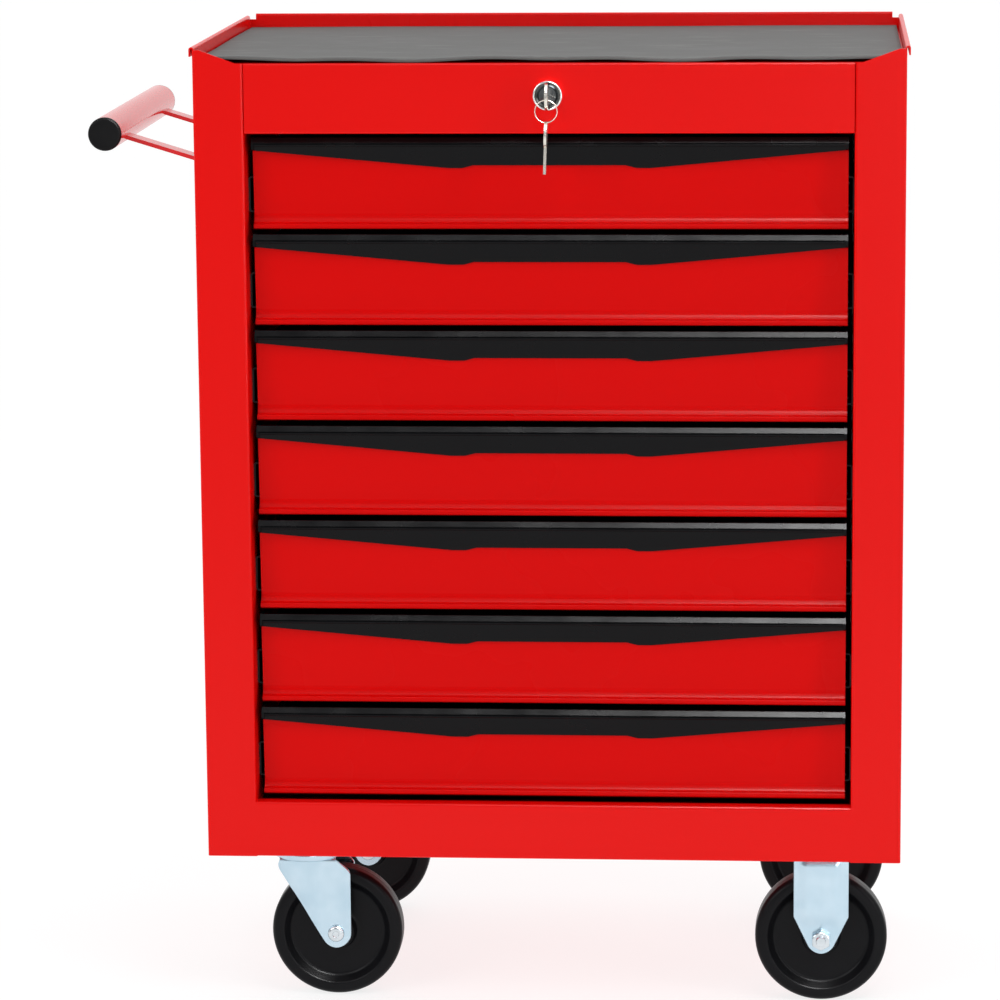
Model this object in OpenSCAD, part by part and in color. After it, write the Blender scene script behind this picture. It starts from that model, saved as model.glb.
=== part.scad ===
// Rolling tool chest: a folded sheet-steel cabinet on four casters, with full-width drawers
// on side slides, a recessed top tray, a side handle and one lock that holds every drawer.
// X runs along the front, Y goes from the front to the back, Z up from the floor.

/* [Cabinet] */
// Width over the two side panels
body_w = 530; // [460:5:700]
// Depth from the front of the columns to the back panel
body_d = 330; // [280:5:460]
// Thickness of the cabinet's sheet steel
sheet = 1.2; // [0.8:0.1:1.6]
// Outside radius of a fold
fold_r = 2.0; // [1.8:0.1:3]
// Width of a front column
column_w = 38; // [30:1:50]
// Depth of the flange that a column turns back into the cabinet
column_return = 40; // [36:1:50]
// Height of the rail that holds the lock
rail_h = 52.4; // [48:0.2:70]
// Height of the rail below the drawers
base_h = 43; // [30:1:60]
// Depth of the ledge on top of the base rail
ledge_d = 12; // [8:1:16]
// Height of the side rims above the tray
rim_rise = 12; // [8:1:30]
// Height of the rear rim above the side rims
rear_rise = 1.6; // [0:0.2:4]
// Length along which a column's top slopes down to the tray
slope_w = 32.5; // [24:0.5:36]
// Length of a rim's folded-over hem
hem_drop = 7; // [5:0.5:12]
// Outside radius of a hem's fold
hem_r = 1.7; // [1.7:0.1:2.4]
// Thickness of the mat in the tray
mat_t = 2.6; // [1.5:0.1:5]
// Gap between the mat and the tray's walls
mat_gap = 1.5; // [0.5:0.1:5]

/* [Drawers] */
// Number of drawers
drawer_count = 7; // [3:1:7]
// Height of a drawer's front
drawer_h = 69.2; // [62:0.2:90]
// Gap above, between and below the fronts
drawer_gap = 3.5; // [3:0.5:8]
// Gap between a front and each column
side_gap = 4.5; // [2.5:0.5:5]
// How far the grips stand behind the columns' front
nose_depth = 5.5; // [4:0.5:8]
// How far a drawer's box starts behind the columns' front
box_depth = 20.5; // [20.5:0.5:26]
// Thickness of a drawer's sheet steel
drawer_t = 1.0; // [0.8:0.1:1.2]
// How far the box's side walls end below the top of the grip
box_drop = 10; // [8:1:14]
// How far the box's floor stands above the bottom of the front
box_lift = 3; // [2:0.5:6]
// Space between the back of a box and the cabinet's back
box_rear = 34.5; // [32:0.5:60]
// Height of the black apron at its ends
apron_end_h = 9.4; // [9.2:0.1:12]
// Height of the black apron at its two low points
apron_low_h = 23.5; // [18:0.5:26]
// Height of the black apron along its middle
apron_mid_h = 21.3; // [16:0.1:24]
// How far a drawer runs out
drawer_travel = 195; // [100:5:200]

/* [Slides] */
// Room for one slide between a column's flange and a box
slide_w = 10.5; // [10.5:0.5:14]
// Height of a fixed channel
slide_h = 27; // [27:0.5:32]
// Length of a fixed channel
slide_l = 250; // [240:5:260]
// Distance of a channel's front end behind the columns' front
slide_y = 24; // [23:1:28]

/* [Lock] */
// Distance of the lock below the tray's level
lock_drop = 24; // [20:1:26]
// Outside diameter of the lock's bezel
bezel_d = 22; // [21:0.5:26]
// Diameter of the turning plug
plug_d = 13; // [11:0.5:14]
// Throw of the crank that lifts the lock bar
crank_r = 8; // [7:0.5:9]
// Width of the lock bar
bar_w = 20; // [18:1:26]

/* [Handle] */
// Diameter of the handle tube
tube_d = 25.4; // [20:0.2:32]
// Distance of the tube's centre from the side panel
tube_reach = 71; // [60:1:90]
// Distance of the tube's centre below the side rim
tube_drop = 67; // [50:1:90]
// Length of the tube
tube_l = 274; // [220:2:300]
// Width of a handle bracket
strap_w = 20; // [16:1:30]
// Thickness of a handle bracket
strap_t = 3; // [2.5:0.5:4]
// Distance of the brackets' outer edges from the ends of the tube
strap_inset = 28; // [10:1:50]

/* [Casters] */
// Diameter of the wheels
wheel_d = 101.6; // [96:0.2:104]
// Width of the wheels
wheel_w = 25; // [20:1:27]
// Height from the floor to the top of the caster plates
caster_h = 127; // [127:1:140]
// How far the body's lower edge hangs below the caster plates
lip_drop = 8; // [6:0.5:8]
// Distance of the wheels' centre planes from the front and the back
caster_inset = 44; // [42:1:60]
// Distance of the fixed wheels' axles from the cabinet's middle
fixed_x = 205; // [180:1:212]
// Distance of the swivel axes from the cabinet's middle
swivel_x = 192; // [180:1:212]
// Distance from a swivel axis to its wheel's axle
trail = 22; // [18:1:24]
// Diameter of the axle bolts
axle_d = 8; // [6:0.5:10]

/* [Hidden] */
$fn = 64;
wall_x = body_w / 2;
front_y = -body_d / 2;
back_y = body_d / 2;
column_x = wall_x - column_w;
body_z = caster_h - lip_drop;
floor_top = caster_h + sheet;
pitch = drawer_h + drawer_gap;
opening_z0 = body_z + base_h;
opening_z1 = opening_z0 + drawer_count * pitch + drawer_gap;
tray_z = opening_z1 + rail_h;
tray_under = tray_z - sheet;
rim_z = tray_z + rim_rise;
rear_z = rim_z + rear_rise;
hem_w = 2 * hem_r - sheet + 0.4;
hem_corner = 6;
inner_flange = 12;
rear_flange = 15;

front_w = 2 * (column_x - side_gap);
box_x = column_x - slide_w;
box_front = front_y + box_depth;
box_back = back_y - box_rear;
slide_t = 1.2;
runner_t = 1.2;
runner_h = 18;
runner_reach = 7;
slide_mid = 25;
post_reach = 26;

// The outlines of a front and its grip are given as depth behind the nose and height from the top.
face_y = front_y + nose_depth;
shelf_v = 7.4;
apron_foot = 9.2;
apron_t = 1.5;
cove_depth = 4.5;
cove_h = 7;
cove_top = 11;
lip_u = 8;
face_top_u = 9.8;
face_low_u = lip_u + cove_depth + 1.5;

lock_z = tray_z - lock_drop;
bezel_t = 3;
barrel_d = bezel_d - 3.5;
barrel_l = 22;
rod_d = 6;
finger_d = 5;
arm_t = 3;
bar_t = 2.4;
bar_y = back_y - 17;
bar_gap = 0.4;
arm_y = bar_y - 2 - arm_t;
finger_x = -crank_r * cos(45);
finger_z = -crank_r * sin(45);
bar_x = -7;
bar_top = lock_z + 8;
catch_w = 50;
catch_l = 11;
catch_drop = 12;
hook_w = 12;
hook_t = 2;
hook_y = box_back + 3.5;

key_t = 2;
key_bow = 20;
key_hole = 5;
key_y = front_y - bezel_t - 1;
key_reach = 16.5;
ring_wire = 1.5;
ring_d = 18;
ring_y = key_y - key_reach;
ring_top = lock_z - key_hole / 2 + ring_wire / 2 + 0.1;
ring_mid = ring_top - (ring_d - ring_wire) / 2;

tube_x = -wall_x - tube_reach;
tube_z = rim_z - tube_drop;
tube_wall = 1.5;
strap_foot = 52;
strap_top = 22;
strap_bolt_d = 6;
cap_t = 3;

wheel_r = wheel_d / 2;
plate_w = 90;
plate_l = 62;
plate_t = 2.5;
plate_bolt_x = 72;
plate_bolt_y = 44;
leg_t = 2.5;
leg_gap = 30;
leg_w = 42;
leg_end_r = 11.5;
caster_y = body_d / 2 - caster_inset;
bolt_d = 8;
bolt_head = 4;
bolt_l = 17;
bolt_top = caster_h - plate_t - bolt_head + bolt_l;
crown_r = 27;
crown_top = caster_h - 14;
king_d = 10;
run_gap = 0.08;

// The frame stands at the middle of the whole outline: the handle reaches out on the left,
// the bow of the key to the front and the rear hem to the back.
left_reach = wall_x + tube_reach + tube_d / 2;
right_reach = wall_x + hem_w;
front_reach = -ring_y + key_bow - key_reach;
back_reach = back_y + hem_w;
frame_x = (left_reach - right_reach) / 2;
frame_y = (front_reach - back_reach) / 2;

drawers = [for (k = [1:drawer_count]) k];

red = [0.82, 0.05, 0.04];
dark_red = [0.74, 0.03, 0.03];
black = [0.1, 0.1, 0.11];
zinc = [0.78, 0.82, 0.85];
chrome = [0.88, 0.88, 0.9];
grey_mat = [0.38, 0.38, 0.37];

// ---- outlines of folded sheet ----

function unit(v) = v / norm(v);
function left_of(v) = [-v[1], v[0]];
function turned(v, a) = [v[0] * cos(a) - v[1] * sin(a), v[0] * sin(a) + v[1] * cos(a)];
function turn_angle(a, b) = atan2(a[0] * b[1] - a[1] * b[0], a[0] * b[0] + a[1] * b[1]);

// The arc of radius r that rounds corner b between a and c, as n + 1 points
function corner_arc(a, b, c, r, n) =
    let (d0 = unit(b - a), d1 = unit(c - b), th = turn_angle(d0, d1), s = sign(th))
    let (o = b - d0 * (r * tan(abs(th) / 2)) + left_of(d0) * s * r)
    [for (k = [0:n]) o + turned(-left_of(d0) * s * r, th * k / n)];

// A path with each inner corner rounded to its own radius, 0 for a sharp one
function rounded(p, r, n = 4) =
    [for (i = [0:len(p) - 1])
        each (i == 0 || i == len(p) - 1 || r[i] == 0
              ? [p[i]] : corner_arc(p[i - 1], p[i], p[i + 1], r[i], n))];

// A path moved sideways by t, to its left when t is positive, with mitred corners
function beside(p, t) =
    [for (i = [0:len(p) - 1])
        let (d0 = unit(p[max(i, 1)] - p[max(i, 1) - 1]))
        let (d1 = unit(p[min(i, len(p) - 2) + 1] - p[min(i, len(p) - 2)]))
        let (m = unit(left_of(d0) + left_of(d1)))
        p[i] + m * t / (m * left_of(d0))];

function reversed(p) = [for (i = [len(p) - 1:-1:0]) p[i]];

// The closed outline of a sheet whose one surface follows the path p
function sheet_outline(p, t) = concat(p, reversed(beside(p, t)));

// ---- placing ----

module in_frame() { translate([frame_x, frame_y, 0]) children(); }
module along_x(x0, x1) { translate([x0, 0, 0]) rotate([90, 0, 90]) linear_extrude(x1 - x0) children(); }
module along_y(y0, y1) { translate([0, y1, 0]) rotate([90, 0, 0]) linear_extrude(y1 - y0) children(); }
module along_z(z0, z1) { translate([0, 0, z0]) linear_extrude(z1 - z0) children(); }
module block(lo, hi) { translate(lo) cube(hi - lo); }
module rod_y(d, y0, y1) { translate([0, y0, 0]) rotate([-90, 0, 0]) cylinder(d = d, h = y1 - y0); }
module rod_x(d, x0, x1) { translate([x0, 0, 0]) rotate([0, 90, 0]) cylinder(d = d, h = x1 - x0); }
module hex_y(af, y0, y1) {
    translate([0, y0, 0]) rotate([-90, 0, 0]) cylinder(d = af / cos(30), h = y1 - y0, $fn = 6);
}
module both_sides() { children(); mirror([1, 0, 0]) children(); }
module on_side(side) { if (side > 0) mirror([1, 0, 0]) children(); else children(); }

// ---- cabinet ----

// One side, drawn as the left one: a wall with its rolled rim and bottom flange, the front
// column folded round it with a sloping top, and a rear flange
module side_panel(side) {
    hem_x = -wall_x - hem_w;
    wall = rounded([[hem_x, rim_z - hem_drop], [hem_x, rim_z], [-wall_x + sheet, rim_z],
                    [-wall_x + sheet, body_z + sheet], [-wall_x + inner_flange, body_z + sheet]],
                   [0, hem_r, hem_r, fold_r - sheet, 0]);
    column = rounded([[-wall_x, front_y + column_return], [-wall_x, front_y], [-column_x, front_y],
                      [-column_x, front_y + column_return]], [0, fold_r, fold_r, 0]);
    flange = rounded([[-wall_x, back_y - 2 * rear_flange], [-wall_x, back_y - sheet],
                      [-wall_x + rear_flange, back_y - sheet]], [0, fold_r, 0]);
    on_side(side) {
        difference() {
            along_y(front_y + fold_r, back_y - sheet) polygon(sheet_outline(wall, -sheet));
            if (side < 0) handle_bolt_places() rod_x(strap_bolt_d + 0.4, -1, sheet + 1);
        }
        difference() {
            along_z(body_z, rim_z - fold_r) polygon(sheet_outline(column, sheet));
            along_y(front_y - 1, front_y + column_return + 1)
                polygon([[-wall_x + sheet, rim_z + 1], [-wall_x + sheet, rim_z - 0.4],
                         [-wall_x + slope_w, tray_z], [-column_x + 1, tray_z], [-column_x + 1, rim_z + 1]]);
            block([-wall_x + sheet, front_y + sheet, tray_under],
                  [-column_x + 1, front_y + column_return + 1, rim_z + 1]);
            block([-wall_x + sheet, front_y + sheet, body_z - 1],
                  [-column_x + 1, front_y + column_return + 1, bolt_top + 1]);
        }
        block([-column_x - fold_r, front_y, body_z], [-column_x, front_y + sheet, opening_z0]);
        along_z(floor_top, tray_under) polygon(sheet_outline(flange, -sheet));
    }
}
module side_panel_left() { color(red) in_frame() side_panel(-1); }
module side_panel_right() { color(red) in_frame() side_panel(1); }

// Two lugs that hold the lock bar against the back panel and let it slide up and down
module bar_guide(z) {
    cheek = bar_w / 2 + bar_gap;
    translate([bar_x, 0, z]) both_sides() {
        block([cheek, bar_y - bar_gap - 1.5, 0], [cheek + 1.5, back_y - sheet, inner_flange]);
        block([cheek - 3, bar_y - bar_gap - 1.5, 0], [cheek, bar_y - bar_gap, inner_flange]);
    }
}

module back_panel() {
    rim = rounded([[back_y + hem_w, rear_z - hem_drop], [back_y + hem_w, rear_z],
                   [back_y - sheet, rear_z], [back_y - sheet, rim_z - hem_drop - 2]],
                  [0, hem_r, hem_r, 0]);
    color(red) in_frame() {
        block([-wall_x, back_y - sheet, body_z], [wall_x, back_y, rim_z - 3]);
        along_x(-wall_x + hem_corner, wall_x - hem_corner) polygon(sheet_outline(rim, sheet));
        for (k = [1, ceil(drawer_count / 2), drawer_count - 1])
            bar_guide(drawer_top(k) - 62);
    }
}

// The holes for the bolts of all four caster plates
module caster_places() {
    for (y = [-caster_y, caster_y]) {
        translate([fixed_x, y, 0]) children();
        translate([-swivel_x, y, 0]) children();
    }
}
module bolt_places() {
    caster_places()
        for (x = [-plate_bolt_x / 2, plate_bolt_x / 2], y = [-plate_bolt_y / 2, plate_bolt_y / 2])
            translate([x, y, 0]) children();
}

module bottom_panel() {
    x1 = wall_x - sheet;
    y0 = front_y + sheet;
    y1 = back_y - sheet;
    color(red) in_frame() difference() {
        union() {
            block([-x1, y0, caster_h], [x1, y1, floor_top]);
            block([-column_x + 5, y0, body_z + fold_r], [column_x - 5, y0 + sheet, caster_h]);
            block([-wall_x + rear_flange + 1, y1 - sheet, floor_top],
                  [wall_x - rear_flange - 1, y1, floor_top + inner_flange]);
            both_sides()
                block([-x1, front_y + column_return, floor_top],
                      [-x1 + sheet, y1 - rear_flange, floor_top + inner_flange]);
        }
        bolt_places() translate([0, 0, caster_h - 1]) cylinder(d = bolt_d + 0.6, h = sheet + 2);
    }
}

// The tray with its down-turned flanges, the rail folded down from its front edge with the
// hole for the lock, and the hanger that carries the rear end of the lock rod
module top_panel() {
    x1 = wall_x - sheet;
    y1 = back_y - sheet;
    rail_x = column_x - 0.3;
    fold = front_y + fold_r;
    rail = rounded([[front_y + ledge_d + 2, opening_z1], [front_y, opening_z1], [front_y, tray_z],
                    [fold + 10, tray_z]], [0, fold_r, fold_r, 0]);
    hanger_y = arm_y - 7;
    color(red) in_frame() difference() {
        union() {
            along_x(-rail_x, rail_x) polygon(sheet_outline(rail, -sheet));
            block([-x1, fold, tray_under], [x1, y1, tray_z]);
            both_sides() {
                block([-x1, front_y + sheet, tray_under], [-column_x - fold_r, fold, tray_z]);
                block([-x1, front_y + column_return, tray_under - inner_flange],
                      [-x1 + sheet, y1 - rear_flange, tray_under]);
            }
            block([-wall_x + rear_flange + 1, y1 - sheet, tray_under - inner_flange],
                  [bar_x - bar_w, y1, tray_under]);
            block([bar_x + bar_w, y1 - sheet, tray_under - inner_flange],
                  [wall_x - rear_flange - 1, y1, tray_under]);
            block([-14, hanger_y, lock_z - 9], [14, hanger_y + 2, tray_under]);
        }
        translate([0, 0, lock_z]) rod_y(barrel_d + 0.2, front_y - 1, front_y + sheet + 1);
        translate([0, 0, lock_z]) rod_y(rod_d + 2 * run_gap, hanger_y - 1, hanger_y + 3);
    }
}

// A rail closed against both columns, with a ledge on top and a flange turned in at the bottom
module base_rail() {
    rail = rounded([[front_y + ledge_d, opening_z0 - 8], [front_y + ledge_d, opening_z0],
                    [front_y, opening_z0], [front_y, body_z], [front_y + ledge_d - 2, body_z]],
                   [0, fold_r, fold_r, fold_r, 0]);
    color(red) in_frame() along_x(-column_x, column_x) polygon(sheet_outline(rail, sheet));
}

// Upright angles at the back that carry the rear ends of the slide channels
module rear_posts() {
    y0 = front_y + slide_y + slide_l - post_reach;
    post = rounded([[-column_x, y0], [-column_x, back_y - sheet],
                    [-column_x - rear_flange, back_y - sheet]], [0, fold_r, 0]);
    color(zinc) in_frame() both_sides()
        along_z(floor_top + inner_flange + 1, tray_under - inner_flange - 2)
            polygon(sheet_outline(post, sheet));
}

function drawer_top(k) = opening_z1 - drawer_gap - (k - 1) * pitch;
function drawer_bottom(k) = drawer_top(k) - drawer_h;
function slide_z(k) = drawer_bottom(k) + slide_mid;

// A fixed channel, open towards the drawer, with its lips turned in over the runner
module slide_channels() {
    x0 = -column_x;
    x1 = x0 + 8;
    h = slide_h / 2;
    channel = rounded([[x1, h - 3], [x1, h], [x0, h], [x0, -h], [x1, -h], [x1, -h + 3]],
                      [0, fold_r, fold_r, fold_r, fold_r, 0], 3);
    color(zinc) in_frame() both_sides() for (k = drawers)
        translate([0, 0, slide_z(k)])
            along_y(front_y + slide_y, front_y + slide_y + slide_l)
                polygon(sheet_outline(channel, slide_t));
}

module top_mat() {
    x1 = wall_x - sheet - mat_gap;
    color(grey_mat) in_frame()
        block([-x1, front_y + fold_r + 1, tray_z], [x1, back_y - sheet - mat_gap, tray_z + mat_t]);
}

// ---- handle ----

module tube_solid(d) {
    y0 = -tube_l / 2;
    translate([tube_x, 0, tube_z]) rod_y(d, y0, -y0);
}

module handle_tube() {
    color(red) in_frame() difference() {
        tube_solid(tube_d);
        translate([tube_x, 0, tube_z])
            rod_y(tube_d - 2 * tube_wall, -tube_l / 2 - 1, tube_l / 2 + 1);
    }
}

// Where the two brackets stand along the tube, as the lower end of each
strap_places = [-tube_l / 2 + strap_inset, tube_l / 2 - strap_inset - strap_w];
strap_bolts = [tube_z - strap_top - 14, tube_z - strap_top - 40];

module handle_bolt_places() {
    for (y = strap_places, z = strap_bolts) translate([-wall_x, y + strap_w / 2, z]) children();
}

// A flat bar with its foot on the side panel and its arm reaching up to the tube
module handle_brackets() {
    foot_x = -wall_x;
    bend_z = tube_z - strap_top;
    slope = (tube_z - bend_z) / tube_reach;
    arm = rounded([[foot_x, bend_z - strap_foot], [foot_x, bend_z],
                   [tube_x, bend_z + slope * tube_reach]], [0, strap_t + 1, 0]);
    color(red) in_frame() difference() {
        for (y = strap_places) along_y(y, y + strap_w) polygon(sheet_outline(arm, strap_t));
        tube_solid(tube_d);
        handle_bolt_places() rod_x(strap_bolt_d + 0.4, -strap_t - 1, 1);
    }
}

// Domed plugs pressed into the ends of the tube
module handle_caps() {
    plug_d0 = tube_d - 2 * tube_wall - 0.1;
    dome = rounded([[0, cap_t], [tube_d / 2, cap_t], [tube_d / 2, 0]], [0, 2, 0], 5);
    color(black) in_frame() translate([tube_x, 0, tube_z]) {
        for (side = [-1, 1]) scale([1, side, 1])
            translate([0, tube_l / 2, 0]) rotate([-90, 0, 0]) rotate_extrude()
                polygon(concat(dome, [[plug_d0 / 2, 0], [plug_d0 / 2, -14], [0, -14]]));
    }
}

// Hex bolts through the feet of the brackets and the side panel, with their nuts inside
module handle_bolts() {
    color(zinc) in_frame() handle_bolt_places() {
        rod_x(strap_bolt_d, -strap_t, 12);
        translate([-strap_t - 4, 0, 0]) rotate([0, 90, 0]) cylinder(d = 10 / cos(30), h = 4, $fn = 6);
        translate([sheet, 0, 0]) rotate([0, 90, 0]) cylinder(d = 10 / cos(30), h = 5, $fn = 6);
    }
}

// ---- lock ----

// The chromed barrel with its bezel in front of the rail
module lock_barrel() {
    bezel = rounded([[plug_d / 2 + run_gap, -bezel_t], [bezel_d / 2 - 1.5, -bezel_t],
                     [bezel_d / 2, -0.6], [bezel_d / 2, 0], [barrel_d / 2, 0]], [0, 1, 1, 0, 0], 4);
    color(chrome) in_frame() translate([0, front_y, lock_z]) {
        rotate([-90, 0, 0]) rotate_extrude()
            polygon(concat(bezel, [[barrel_d / 2, barrel_l], [plug_d / 2 + run_gap, barrel_l]]));
    }
}

// The thin nut that clamps the barrel from behind the rail
module lock_nut() {
    color(zinc) in_frame() translate([0, front_y, lock_z]) difference() {
        hex_y(bezel_d + 2, sheet, sheet + 4);
        rod_y(barrel_d + 0.2, 0, sheet + 5);
    }
}

// The turning plug with its keyway, and its square-shouldered tail that drives the rod
module lock_plug() {
    color(zinc) in_frame() translate([0, front_y, lock_z]) difference() {
        union() {
            rod_y(plug_d, -bezel_t + 0.4, barrel_l);
            rod_y(plug_d + 3, barrel_l + 0.1, barrel_l + 2.1);
            rod_y(plug_d - 3, barrel_l, barrel_l + 1);
        }
        block([-key_t / 2 - 0.15, -bezel_t - 1, -3.5], [key_t / 2 + 0.15, barrel_l - 3, 3.5]);
    }
}

// The rod from the plug to the back, with a crank arm and the finger that lifts the bar
module lock_crank() {
    color(zinc) in_frame() translate([0, 0, lock_z]) {
        rod_y(rod_d, front_y + barrel_l + 2.1, arm_y + arm_t);
        difference() {
            union() {
                rod_y(12, arm_y, arm_y + arm_t);
                translate([finger_x, 0, finger_z]) rod_y(9, arm_y, arm_y + arm_t);
            }
            rod_y(rod_d - 1, arm_y - 1, arm_y);
        }
        translate([finger_x, 0, finger_z]) rod_y(finger_d, arm_y, bar_y + bar_t + 2);
    }
}

// A flat bar with a cross slot for the crank's finger and one hook for each drawer
module lock_bar() {
    slot_h = finger_d + 2 * bar_gap;
    slot_z = lock_z + finger_z;
    low = drawer_top(drawer_count) - box_drop - catch_drop - 20;
    color(zinc) in_frame() {
        difference() {
            block([bar_x - bar_w / 2, bar_y, low], [bar_x + bar_w / 2, bar_y + bar_t, bar_top]);
            block([-crank_r - finger_d / 2 - bar_gap, bar_y - 1, slot_z - slot_h / 2],
                  [finger_x + finger_d / 2 + bar_gap, bar_y + bar_t + 1, slot_z + slot_h / 2]);
        }
        for (k = drawers) {
            tip = drawer_top(k) - box_drop - catch_drop - 2;
            hook = rounded([[bar_y, tip - 13], [hook_y, tip - 13], [hook_y, tip]], [0, 3, 0], 3);
            along_x(bar_x - hook_w / 2, bar_x + hook_w / 2) polygon(sheet_outline(hook, -hook_t));
        }
    }
}

// The outline of a key's blade with its bittings, from the bow at 0 to the tip
function blade(l) =
    concat([[0, -3.2], [l, -3.2], [l, 0.8], [l - 2.5, 3.2]],
           [for (i = [3:-1:0], q = [0, 1]) [l - 5.5 - 3 * (3 - i) - 1.5 * q, q == 0 ? 3.2 : 2.2 - 0.4 * (i % 2)]],
           [[0, 3.2]]);

// A flat key lying in the YZ plane with its hole at the origin and its blade along +Y
module flat_key(blade_l) {
    rotate([90, 0, 90]) translate([0, 0, -key_t / 2]) linear_extrude(key_t) difference() {
        union() {
            translate([key_bow / 2 - (key_bow - key_reach), 0]) circle(d = key_bow);
            translate([key_reach - 1, 0]) polygon(blade(blade_l + 1));
        }
        circle(d = key_hole);
    }
}

module lock_key() { color(chrome) in_frame() translate([0, ring_y, lock_z]) flat_key(19); }

module key_ring() {
    color(chrome) in_frame() translate([0, ring_y, ring_mid]) rotate([-90, 0, 0])
        rotate_extrude() translate([(ring_d - ring_wire) / 2, 0]) circle(d = ring_wire, $fn = 24);
}

// ---- casters ----

module plate_blank() {
    difference() {
        block([-plate_w / 2, -plate_l / 2, caster_h - plate_t], [plate_w / 2, plate_l / 2, caster_h]);
        for (x = [-plate_bolt_x / 2, plate_bolt_x / 2], y = [-plate_bolt_y / 2, plate_bolt_y / 2])
            translate([x, y, caster_h - plate_t - 1]) cylinder(d = bolt_d + 0.6, h = plate_t + 2);
    }
}

// The bracket of a fixed wheel: two legs that taper to a round end at the axle
module fixed_bracket() {
    top = caster_h - plate_t;
    taper_z = 68;
    difference() {
        union() {
            plate_blank();
            for (y = [-leg_gap / 2 - leg_t, leg_gap / 2]) along_y(y, y + leg_t) {
                polygon([[-leg_w / 2, top + 0.1], [leg_w / 2, top + 0.1], [leg_w / 2, taper_z],
                         [leg_end_r * 0.98, wheel_r - leg_end_r * 0.2],
                         [-leg_end_r * 0.98, wheel_r - leg_end_r * 0.2], [-leg_w / 2, taper_z]]);
                translate([0, wheel_r]) circle(r = leg_end_r);
            }
            for (y = [-leg_gap / 2 - leg_t - 0.8, leg_gap / 2 + leg_t])
                block([-9, y, wheel_r + 26], [9, y + 0.8, top - 8]);
        }
        translate([0, 0, wheel_r]) rod_y(axle_d + 0.4, -leg_gap, leg_gap);
    }
}
module fixed_brackets() {
    color(zinc) in_frame() for (y = [-caster_y, caster_y]) translate([fixed_x, y, 0]) fixed_bracket();
}

// An axle bolt through both legs, with its nut and thread end at the front
module fixed_axles() {
    out = leg_gap / 2 + leg_t;
    color(zinc) in_frame() for (y = [-caster_y, caster_y]) translate([fixed_x, y, wheel_r]) {
        rod_y(axle_d, -out - 8.5, out);
        hex_y(13, -out - 6.5, -out);
        hex_y(13, out, out + 5.3);
    }
}

// The plate of a swivel caster with its upper race and the king pin that holds the fork
module swivel_plates() {
    race = rounded([[king_d / 2, 0], [17, 0], [23, 3.5], [25, 10], [25, 11.6]], [0, 2, 3, 0, 0], 4);
    color(zinc) in_frame() for (y = [-caster_y, caster_y]) translate([-swivel_x, y, 0]) {
        plate_blank();
        translate([0, 0, crown_top + 0.3]) rotate_extrude()
            polygon(concat(race, [[king_d / 2, 11.6]]));
        translate([0, 0, crown_top - 3.6 - 3]) cylinder(d = king_d, h = 20);
        translate([0, 0, crown_top - 3.6 - 3]) cylinder(d1 = 13, d2 = 18, h = 3);
    }
}

// A stamped fork: a round crown with its race rim, and two raked legs down to the axle
module fork() {
    leg = [[-23, crown_top], [24, crown_top], [30, crown_top - 6], [trail + leg_end_r, crown_top - 18],
           [trail + leg_end_r, wheel_r], [trail - leg_end_r * 0.86, wheel_r - leg_end_r * 0.5],
           [-25, crown_top - 7]];
    rim = rounded([[24.5, -0.1], [24.5, 2.5], [crown_r, 2.5], [crown_r, -3], [crown_r - 3, -3]],
                  [0, 0.8, 0.8, 2, 0], 3);
    difference() {
        union() {
            translate([0, 0, crown_top - 3]) cylinder(r = crown_r - 0.5, h = 3);
            translate([0, 0, crown_top]) rotate_extrude() polygon(rim);
            for (y = [-leg_gap / 2 - leg_t, leg_gap / 2]) along_y(y, y + leg_t) {
                polygon(leg);
                translate([trail, wheel_r]) circle(r = leg_end_r);
            }
        }
        translate([0, 0, crown_top - 10]) cylinder(d = king_d + 2 * run_gap, h = 20);
        translate([trail, 0, wheel_r]) rod_y(axle_d + 0.4, -leg_gap, leg_gap);
    }
}
module front_fork() { color(zinc) in_frame() translate([-swivel_x, -caster_y, 0]) fork(); }
module rear_fork() { color(zinc) in_frame() translate([-swivel_x, caster_y, 0]) fork(); }

// A round-headed axle for a fork, with its nut on the far side
module fork_axle() {
    out = leg_gap / 2 + leg_t;
    head = rounded([[0, -3.6], [6.5, -3.6], [6.5, 0]], [0, 2.6, 0], 5);
    translate([trail, 0, wheel_r]) {
        rod_y(axle_d, -out, out + 7);
        translate([0, -out, 0]) rotate([-90, 0, 0]) rotate_extrude() polygon(concat(head, [[0, 0]]));
        hex_y(13, out, out + 5.3);
    }
}
module front_fork_axle() { color(zinc) in_frame() translate([-swivel_x, -caster_y, 0]) fork_axle(); }
module rear_fork_axle() { color(zinc) in_frame() translate([-swivel_x, caster_y, 0]) fork_axle(); }

// A moulded wheel: hub, dished web and a thick rounded tread
module wheel() {
    half = wheel_w / 2;
    hub = leg_gap / 2 - 0.5;
    bore = axle_d / 2 + run_gap;
    side = rounded([[bore, hub], [13, hub], [14.5, half - 3.5], [26, 5.5], [33, 5.5], [39, half - 1.5],
                    [42, half], [wheel_r - 5, half], [wheel_r, half - 6]], [0, 1.5, 4, 6, 6, 4, 1, 5, 0], 4);
    rotate([-90, 0, 0]) rotate_extrude($fn = 96)
        polygon(concat(side, reversed([for (q = side) [q[0], -q[1]]])));
}
module wheel_at(x, y) { color(black) in_frame() translate([x, y, wheel_r]) wheel(); }
module wheel_front_right() { wheel_at(fixed_x, -caster_y); }
module wheel_rear_right() { wheel_at(fixed_x, caster_y); }
module wheel_front_left() { wheel_at(trail - swivel_x, -caster_y); }
module wheel_rear_left() { wheel_at(trail - swivel_x, caster_y); }

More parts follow.
